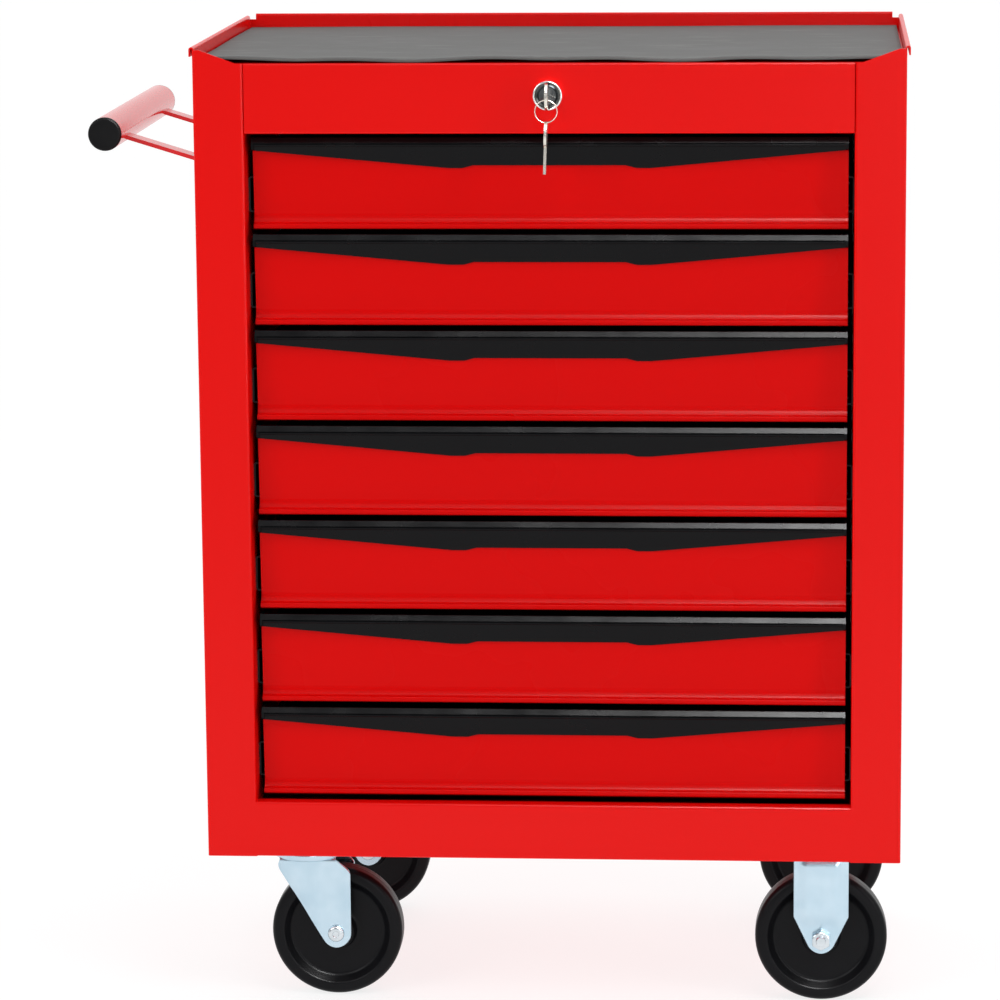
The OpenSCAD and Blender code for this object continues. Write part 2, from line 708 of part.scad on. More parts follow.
// Bolts up through the plates and the bottom panel, with their nuts inside the cabinet
module caster_bolts() {
    color(zinc) in_frame() bolt_places() {
        translate([0, 0, bolt_top - bolt_l]) cylinder(d = bolt_d, h = bolt_l);
        translate([0, 0, bolt_top - bolt_l]) cylinder(d = 13 / cos(30), h = bolt_head, $fn = 6);
        translate([0, 0, floor_top]) cylinder(d = 13 / cos(30), h = 6, $fn = 6);
    }
}

// ---- drawers ----

// A folded tray: floor and side walls in one sheet with rolled edges, a front plate that
// backs the red front, and a back plate with the catch that the lock bar's hook enters
module drawer_box(k) {
    z0 = drawer_bottom(k) + box_lift;
    z1 = drawer_top(k) - box_drop;
    t = drawer_t;
    hem = 4;
    u = rounded([[-box_x + hem, z1 - 5], [-box_x + hem, z1], [-box_x, z1], [-box_x, z0],
                 [box_x, z0], [box_x, z1], [box_x - hem, z1], [box_x - hem, z1 - 5]],
                [0, 1.8, 1.8, 2.5, 2.5, 1.8, 1.8, 0], 3);
    catch = rounded([[box_back, z1 - 8], [box_back, z1], [box_back + catch_l, z1],
                     [box_back + catch_l, z1 - catch_drop]], [0, 0, 1.5, 0], 3);
    color(black) in_frame() {
        along_y(box_front, box_back) polygon(sheet_outline(u, t));
        block([-box_x + t, box_front, z0 + t], [box_x - t, box_front + t, z1 - 0.2]);
        block([-box_x + hem, box_front, z1 - 0.2], [box_x - hem, box_front + t, drawer_top(k) - 2.5]);
        block([-box_x + t, box_back - t, z0 + t], [box_x - t, box_back, z1 - 0.2]);
        along_x(bar_x - catch_w / 2, bar_x + catch_w / 2) polygon(sheet_outline(catch, -t));
    }
}

// The front: a leaning face that ends in a cove and a lip at the bottom, with closed ends
module drawer_front(k) {
    top = drawer_top(k);
    back_u = box_depth - nose_depth;
    low = drawer_h - cove_top;
    shape = concat(
        rounded([[back_u, -apron_end_h], [face_top_u, -apron_end_h], [face_low_u, -low]], [0, 1.6, 0], 3),
        [for (a = [15:15:75])
            [face_low_u - cove_depth + cove_depth * cos(a), -low - cove_h * sin(a)]],
        rounded([[face_low_u - cove_depth, -low - cove_h], [lip_u, -low - cove_h], [lip_u, -drawer_h],
                 [back_u, -drawer_h]], [0, 1.2, 1.2, 0], 3));
    color(dark_red) in_frame() translate([0, face_y, top]) {
        along_x(-front_w / 2, front_w / 2) polygon(sheet_outline(shape, drawer_t));
        both_sides() along_x(-front_w / 2, -front_w / 2 + drawer_t) polygon(shape);
    }
}

// The outline of a grip's nose: a sloping top band, a small bead below it and the groove
// where the apron starts
nose_front = concat(
    rounded([[4.6, -shelf_v], [4.6, 0], [2.9, 0], [0, -4.1], [0.9, -4.4]], [0, 0.6, 0.8, 0.3, 0], 4),
    [for (a = [100:26:256]) [1.9 + 1.5 * cos(a), -5.5 + 1.3 * sin(a)]]);

// The black grip: nose, finger channel behind it and a sloping apron cut to a shallow bow tie
module drawer_grip(k) {
    back_u = box_depth - nose_depth;
    apron_low = max(apron_low_h, apron_mid_h);
    section = concat(
        nose_front,
        [[apron_foot, -apron_low], [apron_foot + apron_t, -apron_low], [4.6, -apron_end_h],
         [back_u, -apron_end_h], [back_u, -2.5], [back_u - 2, -2.5], [back_u - 2, -shelf_v]]);
    cap = concat(
        rounded([[back_u, -1.5], [back_u, 0.2], [2.8, 0.2], [-0.25, -4.1],
                 [-0.25, -apron_end_h + 1.2], [1.5, -apron_end_h - 0.1]], [0, 1, 0.8, 0.3, 1, 0], 4),
        [[back_u, -apron_end_h]]);
    half = front_w / 2;
    outline = rounded([[half + 1, -apron_end_h], [76, -apron_low_h], [65, -apron_low_h],
                       [57, -apron_mid_h], [0, -apron_mid_h]], [0, 40, 8, 4, 0], 4);
    color(black) in_frame() translate([0, face_y, drawer_top(k)]) difference() {
        union() {
            along_x(-half + 2, half - 2) polygon(section);
            both_sides() along_x(-half, -half + 2) polygon(cap);
        }
        both_sides() along_y(-1, back_u - 3)
            polygon(concat(outline, [[0, -apron_low - 5], [half + 1, -apron_low - 5]]));
    }
}

// The sliding members, a pair of channels on the sides of the box that run inside the fixed ones
module drawer_runners(k) {
    x0 = -box_x;
    x1 = x0 - runner_reach;
    h = runner_h / 2;
    runner = rounded([[x1, h], [x0, h], [x0, -h], [x1, -h]], [0, fold_r, fold_r, 0], 3);
    color(zinc) in_frame() both_sides() translate([0, 0, slide_z(k)])
        along_y(front_y + slide_y, front_y + slide_y + slide_l - 10)
            polygon(sheet_outline(runner, -runner_t));
}

side_panel_left();
side_panel_right();
back_panel();
bottom_panel();
top_panel();
base_rail();
rear_posts();
slide_channels();
top_mat();
handle_tube();
handle_brackets();
handle_caps();
handle_bolts();
lock_barrel();
lock_nut();
lock_plug();
lock_crank();
lock_bar();
lock_key();
key_ring();
fixed_brackets();
fixed_axles();
swivel_plates();
caster_bolts();
front_fork();
rear_fork();
front_fork_axle();
rear_fork_axle();
wheel_front_right();
wheel_rear_right();
wheel_front_left();
wheel_rear_left();
for (k = drawers) {
    drawer_box(k);
    drawer_front(k);
    drawer_grip(k);
    drawer_runners(k);
}
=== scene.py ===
from math import pi, radians, tau

import bmesh
import bpy
import numpy as np
from mathutils import Matrix, Vector


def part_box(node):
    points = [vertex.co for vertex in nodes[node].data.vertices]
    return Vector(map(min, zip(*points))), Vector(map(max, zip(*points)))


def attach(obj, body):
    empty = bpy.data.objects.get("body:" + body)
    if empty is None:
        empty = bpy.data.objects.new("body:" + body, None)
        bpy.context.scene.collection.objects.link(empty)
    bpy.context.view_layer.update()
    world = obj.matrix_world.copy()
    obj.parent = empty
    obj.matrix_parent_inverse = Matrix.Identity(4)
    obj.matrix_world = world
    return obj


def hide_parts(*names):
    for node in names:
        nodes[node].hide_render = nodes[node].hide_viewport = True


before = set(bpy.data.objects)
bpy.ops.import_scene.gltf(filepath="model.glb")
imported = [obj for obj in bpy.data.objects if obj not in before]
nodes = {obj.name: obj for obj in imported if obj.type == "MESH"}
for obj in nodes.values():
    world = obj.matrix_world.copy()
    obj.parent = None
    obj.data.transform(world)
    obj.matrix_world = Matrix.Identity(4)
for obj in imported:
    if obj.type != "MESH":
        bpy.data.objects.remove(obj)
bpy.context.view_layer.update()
scene = bpy.context.scene
MM = 0.001

# ---- Camera ----
# A long lens, a little above the tray and to the right of the middle, looks slightly down and
# left, as a person sees the chest from across a room.
left_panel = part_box("side_panel_left")
right_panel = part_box("side_panel_right")
middle_x = (left_panel[0].x + right_panel[1].x) / 2
front_y = left_panel[0].y
camera_data = bpy.data.cameras.new("camera")
camera_data.lens = 157
camera_data.clip_end = 100
camera = bpy.data.objects.new("camera", camera_data)
camera_turn, camera_tilt, camera_lean = 0.0746, 0.1822, -0.0084
camera_right, camera_away, camera_height = 0.203, 3.222, 0.9935
camera.matrix_world = (Matrix.Translation((middle_x + camera_right, front_y - camera_away,
                                           camera_height))
                       @ Matrix.Rotation(camera_turn, 4, "Z")
                       @ Matrix.Rotation(pi / 2 - camera_tilt, 4, "X")
                       @ Matrix.Rotation(camera_lean, 4, "Z"))
scene.collection.objects.link(camera)
scene.camera = camera

# ---- Studio ----
# A seamless pale floor and a sky that is white behind the chest and grey in front of it. Large
# soft lights stand at the front left, at the right and overhead, and two panels only add gloss.


def linear(code):
    """The linear colour of an sRGB hex value, with each channel's display curve undone."""
    srgb = np.array([int(code[i:i + 2], 16) for i in (0, 2, 4)]) / 255
    return (*np.where(srgb <= 0.04045, srgb / 12.92, ((srgb + 0.055) / 1.055) ** 2.4), 1.0)


def fill(tree, node, sockets):
    """Fills a node's sockets, each with a value or with a link from another node's output."""
    for name, value in sockets.items():
        if isinstance(value, bpy.types.NodeSocket):
            tree.links.new(value, node.inputs[name])
        else:
            node.inputs[name].default_value = value


def add(tree, kind, output, sockets, **settings):
    """Adds a node with its settings, fills its sockets, and gives one output, or all for None."""
    node = tree.nodes.new("ShaderNode" + kind)
    for name, value in settings.items():
        setattr(node, name, value)
    fill(tree, node, sockets)
    return node.outputs if output is None else node.outputs[output]


def finish_named(name, **values):
    """A new material with its node tree, its Principled shader and the Object coordinates."""
    material = bpy.data.materials.new(name)
    material.use_nodes = True
    tree = material.node_tree
    shader = tree.nodes["Principled BSDF"]
    for socket, value in values.items():
        shader.inputs[socket.replace("_", " ")].default_value = value
    return material, tree, shader, add(tree, "TexCoord", "Object", {})


# Matt paint that glows a little keeps the floor white; it dims where the chest would mirror it.
floor_paint, tree, shader, place = finish_named("floor_paint", Roughness=0.8,
                                                Emission_Color=linear("ffffff"))
where = add(tree, "SeparateXYZ", None, {0: place})
aside = add(tree, "MapRange", "Result", {"Value": where["X"], "From Min": -1.2, "From Max": 0.9,
                                         "To Min": 1, "To Max": 0.25})
ahead = add(tree, "MapRange", "Result", {"Value": where["Y"], "From Min": -2.9, "From Max": -1.3,
                                         "To Min": 1, "To Max": 0})
dim = add(tree, "Math", 0, {0: aside, 1: ahead}, operation="MULTIPLY")
fill(tree, shader, {
    "Base Color": add(tree, "Mix", 2, {0: dim, 6: linear("787878"), 7: linear("484848")},
                      data_type="RGBA"),
    "Emission Strength": add(tree, "MapRange", "Result", {"Value": dim, "To Min": 0.8,
                                                          "To Max": 0.35})})
floor_mesh = bpy.data.meshes.new("floor")
reach = 40
floor_mesh.from_pydata([(-reach, -reach, 0), (reach, -reach, 0), (reach, reach, 0), (-reach, reach, 0)],
                       [], [(0, 1, 2, 3)])
floor_mesh.materials.append(floor_paint)
floor = bpy.data.objects.new("floor", floor_mesh)
floor.location.z = -0.0005
scene.collection.objects.link(floor)

world = bpy.data.worlds.new("sky")
world.use_nodes = True
sky = world.node_tree
towards = add(sky, "SeparateXYZ", "Y", {0: add(sky, "TexCoord", "Generated", {})})
sky_level = add(sky, "MapRange", "Result", {"Value": towards, "From Min": -0.75, "From Max": 0.35})
fill(sky, sky.nodes["Background"], {
    "Color": add(sky, "Mix", 2, {0: sky_level, 6: linear("8f9196"), 7: linear("fefefe")},
                 data_type="RGBA")})
scene.world = world
scene.view_settings.view_transform = "Standard"


def softbox(name, place, size, power, gloss_only=False):
    """A rectangular soft light aimed at the middle of the chest, or one that only reflections see."""
    light = bpy.data.lights.new(name, "AREA")
    light.shape = "RECTANGLE"
    light.size, light.size_y = size
    light.energy = power
    lamp = bpy.data.objects.new(name, light)
    aim = Vector((middle_x, 0, 0.4)) - Vector(place)
    lamp.matrix_world = Matrix.Translation(place) @ aim.to_track_quat("-Z", "Y").to_matrix().to_4x4()
    lamp.visible_diffuse = not gloss_only
    scene.collection.objects.link(lamp)


softbox("key_light", (-1.9, -2.4, 1.9), (1.6, 1.8), 32)
softbox("strip_light", (2.0, -1.3, 1.0), (0.3, 1.7), 9)
softbox("top_light", (0.2, -0.2, 2.6), (1.8, 1.2), 8)
softbox("veil_panel", (1.0, -3.4, 0.9), (0.9, 1.4), 14, gloss_only=True)
softbox("edge_panel", (0.78, -1.25, 2.2), (1.2, 0.7), 160, gloss_only=True)

# ---- Cabinet ----
# Sides, back, tray, rails and bottom are 1.2 mm steel sheet, folded on a press brake, spot-welded
# and powder-coated red. The baked powder is a glossy polyester film with a fine orange peel.


def powder_coat(name, deep, bright, roughness, gloss=0.25):
    """Polyester powder coat: a dielectric film whose orange peel, about 2 mm wide, and faint haze
    soften each reflection a little."""
    material, tree, shader, place = finish_named(name, IOR=1.5, Specular_IOR_Level=gloss)
    cloud = add(tree, "TexNoise", "Fac", {"Vector": place, "Scale": 1 / (300 * MM)})
    haze = add(tree, "TexNoise", "Fac", {"Vector": place, "Scale": 1 / (180 * MM), "Detail": 3})
    peel = add(tree, "TexNoise", "Fac", {"Vector": place, "Scale": 1 / (2.2 * MM), "Detail": 1})
    fill(tree, shader, {
        "Base Color": add(tree, "Mix", 2, {0: cloud, 6: linear(deep), 7: linear(bright)},
                          data_type="RGBA"),
        "Roughness": add(tree, "MapRange", "Result", {"Value": haze, "To Min": roughness - 0.04,
                                                      "To Max": roughness + 0.04}),
        "Normal": add(tree, "Bump", "Normal", {"Height": peel, "Distance": 0.012 * MM, "Strength": 1})})
    return material


def dress(material, *names):
    """Gives CAD nodes a material in place of their plain one."""
    for name in names:
        for slot in nodes[name].material_slots:
            slot.material = material


red_coat = powder_coat("red_powder_coat", "e80200", "ed0602", 0.26, 0.17)
dress(red_coat, "side_panel_left", "side_panel_right", "back_panel", "bottom_panel", "top_panel",
      "base_rail")


def quads(rows, columns, close_rows, close_columns):
    """The corner numbers of a grid's faces, four to a row; a closed direction wraps round."""
    i = np.arange(rows if close_rows else rows - 1)[:, None]
    j = np.arange(columns if close_columns else columns - 1)[None, :]
    corners = [i * columns + j, i * columns + (j + 1) % columns,
               (i + 1) % rows * columns + (j + 1) % columns, (i + 1) % rows * columns + j]
    return np.stack(np.broadcast_arrays(*corners), -1).reshape(-1, 4)


def made(name, patches, material, body, sharp=35):
    """One piece from patches, each a grid of points and whether its rows and columns close.
    Points that meet are merged, faces are turned outwards and edges over sharp degrees kept."""
    points, faces, start = [], [], 0
    for grid, close_rows, close_columns in patches:
        points.append(grid.reshape(-1, 3))
        faces.append(quads(*grid.shape[:2], close_rows, close_columns) + start)
        start += grid.shape[0] * grid.shape[1]
    mesh = bpy.data.meshes.new(name)
    mesh.from_pydata(np.concatenate(points).tolist(), [], np.concatenate(faces).tolist())
    tidy(mesh, sharp)
    return placed(name, mesh, material, body)


def tidy(mesh, sharp):
    """Merges doubled points, drops collapsed faces, turns faces outwards and shades by angle."""
    work = bmesh.new()
    work.from_mesh(mesh)
    bmesh.ops.remove_doubles(work, verts=work.verts, dist=0.002 * MM)
    bmesh.ops.dissolve_degenerate(work, edges=work.edges, dist=0.002 * MM)
    bmesh.ops.recalc_face_normals(work, faces=work.faces)
    work.to_mesh(mesh)
    work.free()
    mesh.shade_smooth()
    mesh.set_sharp_from_angle(angle=radians(sharp))


def placed(name, mesh, material, body):
    """Links a finished mesh as a piece that rides on a body and takes its finish from a slot."""
    mesh.materials.clear()
    mesh.materials.append(material)
    piece = bpy.data.objects.new(name, mesh)
    scene.collection.objects.link(piece)
    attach(piece, body)
    return piece


def turned(profile, sides=48):
    """A profile of (radius, height) points turned about the axis: at angle a a point lies at
    radius times (cos a, sin a), and keeps its height. The rows of the grid are the angles."""
    profile = np.asarray(profile, float)
    a = np.arange(sides)[:, None] * tau / sides
    radius, height = profile[:, 0][None, :], profile[:, 1][None, :]
    return np.stack(np.broadcast_arrays(radius * np.cos(a), radius * np.sin(a), height), -1)


def stood(grid, where, axis):
    """Moves points so that their own +Z points along X, Y or Z (or -Z for down) from where."""
    x, y, z = grid[..., 0], grid[..., 1], grid[..., 2]
    ways = {"Z": (x, y, z), "-Z": (x, -y, -z), "Y": (x, z, -y), "-Y": (x, -z, y),
            "X": (z, x, y), "-X": (-z, -x, y)}
    return np.stack(ways[axis], -1) + np.array(where)


def arc(centre, radius, first, last, steps=6):
    """Points on an arc from one angle to another, in degrees."""
    a = np.radians(np.linspace(first, last, steps))
    return np.array(centre) + radius * np.stack([np.cos(a), np.sin(a)], -1)


# ---- Rivets of the back panel ----
# Steel pop rivets hold the back panel to the flanges of the sides. They are set before coating,
# so their domed heads wear the same red film.
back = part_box("back_panel")
body_half_w = (back[1].x - back[0].x) / 2
rivet_step, rivet_edge = 88 * MM, 8 * MM
sheet_t = 1.2 * MM
back_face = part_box("rear_posts")[1].y + sheet_t
rivet_dome = np.vstack([[(0, -0.2), (4, -0.2)], arc((3.6, 0.4), 0.4, 0, 60, 4),
                        [(2.4, 1.3), (1.3, 1.6), (1.2, 1.2), (0, 1.2)]]) * MM
rivets = []
for side in (-1, 1):
    for z in np.arange(back[0].z + 40 * MM, back[1].z - 60 * MM, rivet_step):
        spot = (middle_x + side * (body_half_w - rivet_edge), back_face, z)
        rivets.append((stood(turned(rivet_dome, 20), spot, "Y"), True, False))
made("back_rivets", rivets, red_coat, "cabinet")

# ---- Inner steel ----
# The rear posts and the lock's bar, crank and nut are of zinc-plated steel. The plating is
# bright with a bluish passivation, and the forming rolls leave fine streaks along it.


def zinc_plate(name, streak_axis=1, roughness=0.3, tone=("d3dce2", "dde6eb")):
    """Bright zinc with blue passivation: a metal with faint clouds, and streaks along one axis."""
    material, tree, shader, place = finish_named(name, Metallic=1.0)
    stretch = [1.0, 1.0, 1.0]
    stretch[streak_axis] = 0.06
    along = add(tree, "Mapping", "Vector", {"Vector": place, "Scale": stretch})
    streaks = add(tree, "TexNoise", "Fac", {"Vector": along, "Scale": 1 / (0.8 * MM), "Detail": 3})
    clouds = add(tree, "TexNoise", "Fac", {"Vector": place, "Scale": 1 / (22 * MM)})
    clear = add(tree, "MapRange", "Result", {"Value": clouds, "From Min": 0.35, "From Max": 0.65})
    fill(tree, shader, {
        "Base Color": add(tree, "Mix", 2, {0: clear, 6: linear(tone[0]), 7: linear(tone[1])},
                          data_type="RGBA"),
        "Roughness": add(tree, "MapRange", "Result", {
            "Value": streaks, "From Min": 0.3, "From Max": 0.7, "To Min": roughness - 0.03,
            "To Max": roughness + 0.03}),
        "Normal": add(tree, "Bump", "Normal", {"Height": streaks, "Distance": 0.008 * MM,
                                               "Strength": 0.5})})
    return material


rolled_zinc = zinc_plate("rolled_zinc", 1)
dress(rolled_zinc, "rear_posts", "lock_nut", "lock_crank", "lock_bar")

# ---- Drawers ----
# Each drawer is a folded box of 1 mm steel that runs on slides, all in black powder coat, with a
# red pressed front and a full-width grip of black ABS clipped over its upper edge.
drawer_names = [f"drawer_{k}" for k in range(1, 8)]
drawer_red = powder_coat("drawer_red_powder_coat", "dc0000", "e20100", 0.28, 0.08)
box_coat = powder_coat("black_powder_coat", "121214", "18181a", 0.42)
dress(drawer_red, *[f"{d}_front" for d in drawer_names])
dress(box_coat, "slide_channels", *[f"{d}_box" for d in drawer_names],
      *[f"{d}_runners" for d in drawer_names])


def moulded_black(name, deep, bright, roughness, texture, depth):
    """Moulded ABS, PP or PVC: a black dielectric whose spark-eroded mould leaves an even grain that
    breaks up its sheen. The real grain is about 0.3 mm, and it is drawn coarser so that it shows."""
    material, tree, shader, place = finish_named(name, IOR=1.5, Specular_IOR_Level=0.12)
    cells = add(tree, "TexVoronoi", "Distance", {"Vector": place, "Scale": 1 / texture})
    clouds = add(tree, "TexNoise", "Fac", {"Vector": place, "Scale": 1 / (30 * MM), "Detail": 4})
    fill(tree, shader, {
        "Base Color": add(tree, "Mix", 2, {0: clouds, 6: linear(deep), 7: linear(bright)},
                          data_type="RGBA"),
        "Roughness": add(tree, "MapRange", "Result", {
            "Value": clouds, "From Min": 0.3, "From Max": 0.7, "To Min": roughness - 0.05,
            "To Max": roughness + 0.07}),
        "Normal": add(tree, "Bump", "Normal", {"Height": cells, "Distance": depth, "Strength": 0.7})})
    return material


grip_abs = moulded_black("grip_black_abs", "060608", "0a0a0c", 0.24, 0.9 * MM, 0.012 * MM)
dress(grip_abs, *[f"{d}_grip" for d in drawer_names])

# ---- Drawer liners ----
# A 1.5 mm sheet of black EVA foam lies loose on each drawer's floor. It is extruded with fine
# ribs 4 mm apart that run from front to back and keep tools from sliding.
liner_t = 1.5 * MM
liner_gap = 2.5 * MM
box_wall = 1.0 * MM
catch_l = 11 * MM  # the catch for the lock bar stands this far behind each box
# Foamed EVA with open pores half a millimetre wide: dark, dry and without a highlight.
eva, tree, shader, place = finish_named("liner_black_eva", Roughness=0.85, IOR=1.45)
pores = add(tree, "TexNoise", "Fac", {"Vector": place, "Scale": 1 / (0.5 * MM), "Detail": 3})
fill(tree, shader, {
    "Base Color": add(tree, "Mix", 2, {0: pores, 6: linear("1b1b1c"), 7: linear("262627")},
                      data_type="RGBA"),
    "Normal": add(tree, "Bump", "Normal", {"Height": pores, "Distance": 0.1 * MM, "Strength": 0.5})})


def laid_sheet(x0, x1, y0, y1, z, across, along, rise):
    """A flat sheet's upper face on a grid; rise gives each point's height above z from (x, y)."""
    x = np.linspace(x0, x1, across)[None, :]
    y = np.linspace(y0, y1, along)[:, None]
    return np.stack(np.broadcast_arrays(x, y, z + rise(x, y)), -1)


def thicken(piece, thickness, edge):
    """Gives an upper face its thickness downwards and rounds the cut edges."""
    wall = piece.modifiers.new("thickness", "SOLIDIFY")
    wall.thickness, wall.offset = thickness, -1
    round_over = piece.modifiers.new("cut_edge", "BEVEL")
    round_over.width, round_over.segments, round_over.limit_method = edge, 2, "ANGLE"


def rib_rise(x, y):
    """Ribs across the sheet: a cosine of x with a pitch of 4 mm and a height of 0.4 mm."""
    return 0.2 * MM * np.cos(x * tau / (4 * MM)) + 0 * y


for d in drawer_names:
    low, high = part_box(f"{d}_box")
    x0, x1 = low.x + box_wall + liner_gap, high.x - box_wall - liner_gap
    y0, y1 = low.y + box_wall + liner_gap, high.y - catch_l - box_wall - liner_gap
    top = laid_sheet(x0, x1, y0, y1, low.z + box_wall + liner_t + 0.3 * MM, 851, 7, rib_rise)
    liner = made(f"{d}_liner", [(top, False, False)], eva, d)
    thicken(liner, liner_t, 0.2 * MM)

# ---- Tray mat ----
# A 2.6 mm sheet of charcoal EVA rubber lies loose in the top tray. Cut by hand, it lifts in low
# waves along its front edge, and shipping has left pale scuffs on its matt skin.
mat_low, mat_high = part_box("top_mat")
mat_t = mat_high.z - mat_low.z
# Rubbed EVA rubber: a dull charcoal skin with slow drifts of tone and pale swept scuffs.
mat_skin, tree, shader, place = finish_named("mat_charcoal_eva", Roughness=0.72, IOR=1.45)
pores = add(tree, "TexNoise", "Fac", {"Vector": place, "Scale": 1 / (0.8 * MM), "Detail": 3})
drift = add(tree, "TexNoise", "Fac", {"Vector": place, "Scale": 1 / (90 * MM), "Detail": 5,
                                      "Roughness": 0.62})
swept = add(tree, "Mapping", "Vector", {"Vector": place, "Scale": (0.35, 1.0, 1.0),
                                        "Rotation": (0, 0, radians(18))})
rubbing = add(tree, "TexNoise", "Fac", {"Vector": swept, "Scale": 1 / (22 * MM), "Detail": 6,
                                        "Roughness": 0.7})
scuffs = add(tree, "MapRange", "Result", {"Value": rubbing, "From Min": 0.56, "From Max": 0.7,
                                          "To Min": 0, "To Max": 0.55})
shade = add(tree, "MapRange", "Result", {"Value": drift, "From Min": 0.3, "From Max": 0.7})
tone = add(tree, "Mix", 2, {0: shade, 6: linear("4b4b4a"), 7: linear("555553")}, data_type="RGBA")
fill(tree, shader, {
    "Base Color": add(tree, "Mix", 2, {0: scuffs, 6: tone, 7: linear("72726e")}, data_type="RGBA"),
    "Roughness": add(tree, "MapRange", "Result", {"Value": drift, "From Min": 0.3, "From Max": 0.7,
                                                  "To Min": 0.6, "To Max": 0.82}),
    "Normal": add(tree, "Bump", "Normal", {"Height": pores, "Distance": 0.12 * MM, "Strength": 0.5})})


def mat_rise(x, y):
    """Low waves that fade from the front edge: a sum of two sines of x, times a falloff in y."""
    near = np.exp(-((y - mat_low.y) / (35 * MM)))
    waves = 0.55 + 0.3 * np.sin(x * tau / 0.21 + 0.8) + 0.25 * np.sin(x * tau / 0.097 + 2.1)
    wide = 0.25 * MM * (1 + np.sin(x * tau / 0.33) * np.sin(y * tau / 0.26))
    return 2.4 * MM * near * np.clip(waves, 0, None) + wide


mat_top = laid_sheet(mat_low.x, mat_high.x, mat_low.y, mat_high.y, mat_high.z, 160, 90, mat_rise)
tray_mat = made("tray_mat", [(mat_top, False, False)], mat_skin, "cabinet")
thicken(tray_mat, mat_t, 0.4 * MM)
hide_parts("top_mat")

# ---- Handle ----
# A welded steel tube in the cabinet's red coat stands off the left side on two flat brackets,
# closed by pressed-in black PVC caps and bolted through the side with plated hex bolts.
cap_pvc = moulded_black("cap_black_pvc", "0a0a0b", "101011", 0.38, 0.7 * MM, 0.03 * MM)
dress(cap_pvc, "handle_caps")
handle_coat = powder_coat("handle_gloss_coat", "dc0a10", "e01218", 0.16, 0.8)
dress(handle_coat, "handle_tube", "handle_brackets")


def hex_body(across, height, chamfer=1.2 * MM):
    """A hex nut or head: at angle a the flats stand at across / 2 / cos(a), a from the middle of
    a flat, and a 30 degree cone cuts the corners, so the radius is the smaller of the two."""
    a = np.arange(48)[:, None] * tau / 48
    flat = across / 2 / np.cos((a + pi / 6) % (pi / 3) - pi / 6)
    z = np.array([0, 0, 0.25, 0.5, 0.75, 1.0, 1.5])
    z = np.concatenate([z * chamfer, (height - z * chamfer)[::-1]])
    near_end = np.minimum(z, height - z)
    cone = across / 2 * 0.96 + near_end / np.tan(radians(30))
    radius = np.minimum(flat, cone[None, :])
    radius[:, 0] = radius[:, -1] = 0
    return np.stack(np.broadcast_arrays(radius * np.cos(a), radius * np.sin(a), z[None, :]), -1)


def thread(radius, length, pitch=1.25 * MM, depth=0.55 * MM, tip=1.0 * MM):
    """A bolt's end with its thread: the radius falls and rises as a triangle wave of the height
    less the angle's share of the pitch, and a short cone closes the tip."""
    a = np.arange(24)[:, None] * tau / 24
    z = np.linspace(0, length, max(int(length / pitch * 4), 8))[None, :]
    phase = (z / pitch - a / tau) % 1
    r = radius - depth * np.abs(2 * phase - 1)
    r = np.minimum(r, radius - 0.6 * MM + (length - z) / tip * MM)
    body = np.stack(np.broadcast_arrays(r * np.cos(a), r * np.sin(a), z), -1)
    closing = body[:, -1:] * np.array([0, 0, 1])
    return np.concatenate([body, closing], 1)


bolt_zinc = zinc_plate("bolt_zinc", 2, 0.24, ("c3ccd1", "d9e0e4"))
bolt_low, bolt_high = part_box("handle_bolts")
plate = 3.0 * MM
rim_overhang = 2.6 * MM  # the rim's hem stands this far outside the side's own face
side_x = left_panel[0].x + rim_overhang
washer_d = 10 * MM
bolts = []
for y in (bolt_low.y + washer_d / 2, bolt_high.y - washer_d / 2):
    for z in (bolt_low.z + washer_d / 3 ** 0.5, bolt_high.z - washer_d / 3 ** 0.5):
        bolts += [(stood(hex_body(10 * MM, 4 * MM), (side_x - plate, y, z), "-X"), True, False),
                  (stood(hex_body(10 * MM, 5 * MM), (side_x + sheet_t, y, z), "X"), True, False),
                  (stood(thread(3 * MM, 5.8 * MM), (side_x + 6.2 * MM, y, z), "X"), True, False)]
handle_bolts = made("handle_hex_bolts", bolts, bolt_zinc, "cabinet", 25)
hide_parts("handle_bolts")

# ---- Casters ----
# Pressed from 2.5 mm steel strip and zinc-plated: a pair of fixed brackets at the right, and at
# the left two forks that turn on their top plates. The wheels are moulded black polypropylene.
pressed_zinc = zinc_plate("pressed_zinc", 2, 0.24, ("b9d1df", "c5dae6"))
dress(pressed_zinc, "swivel_plates")
dress(bolt_zinc, "caster_bolts")
strip_t = 2.5 * MM
leg_outer = 17.5 * MM
end_r = 11.5 * MM
bend = 5 * MM
axle_z = 50.8 * MM


def strap_edge(z, corner, end_x, side):
    """x of a leg's edge at height z: below its corner it follows the line that touches the round
    end, whose touching angle is the corner's angle less the arc cosine of radius over reach."""
    dx, dz = side * (corner[0] - end_x), corner[1] - axle_z
    touch = np.arctan2(dz, dx) - np.arccos(end_r / np.hypot(dx, dz))
    tx, tz = end_r * np.cos(touch), end_r * np.sin(touch)
    h = z - axle_z
    line = tx + (h - tz) * (dx - tx) / (dz - tz)
    tip = np.sqrt(np.clip(end_r ** 2 - h ** 2, 0, None))
    return end_x + side * np.where(h > dz, dx, np.where(h > tz, line, tip))


def smooth(value, low, high):
    """0 below low, 1 above high, and an even S between them."""
    t = np.clip((value - low) / (high - low), 0, 1)
    return t * t * (3 - 2 * t)


